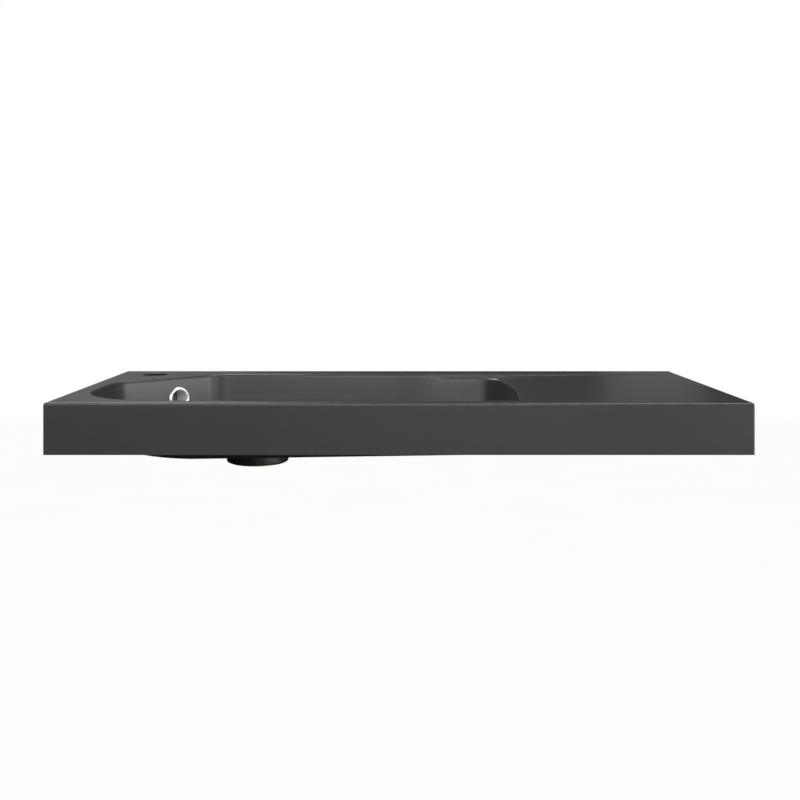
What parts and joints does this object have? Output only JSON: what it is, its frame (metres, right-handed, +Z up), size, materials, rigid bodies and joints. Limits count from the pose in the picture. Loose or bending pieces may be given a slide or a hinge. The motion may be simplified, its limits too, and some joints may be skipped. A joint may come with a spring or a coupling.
{
  "type": "washbasin",
  "caption": "Wall-hung rectangular washbasin in matte dark cast stone with an offset bowl, a ramped shelf, a corner tap hole, a hose-fed overflow and a push-open waste.",
  "frame": {"origin": "middle of the flat wall face, halfway up the apron", "axes": "+X along the basin's length, with the tap hole at -X; +Y into the wall; +Z up"},
  "size_m": [0.82, 0.4, 0.0984],
  "materials": {
    "cast_stone": "matte",
    "chrome": "polished",
    "brass": "machined",
    "steel": "brushed",
    "rubber": "matte",
    "grey_plastic": "moulded",
    "white_plastic": "moulded"
  },
  "bodies": {
    "basin": {"basin_body": "cast_stone", "overflow_ring": "chrome", "overflow_ring_seal": "rubber", "elbow_gasket": "rubber", "overflow_elbow": "grey_plastic", "overflow_hose": "grey_plastic", "hose_clip_upper": "steel", "hose_clip_lower": "steel", "drain_nipple": "brass", "nipple_seal": "rubber", "waste_flange": "chrome", "flange_seal": "rubber", "chamber_gasket": "rubber", "chamber_backnut": "brass", "push_cartridge": "white_plastic", "cartridge_spring": "steel", "fixing_sleeve_left": "white_plastic", "fixing_sleeve_right": "white_plastic"},
    "plug": {"plug_cap": "chrome", "plug_seal": "rubber", "plug_stem": "brass"}
  },
  "joints": [
    {"name": "plug_slide", "type": "slide", "parent": "basin", "child": "plug", "axis": [0, 0, 1], "range_m": [0, 0.008], "deforming": ["cartridge_spring"]}
  ]
}
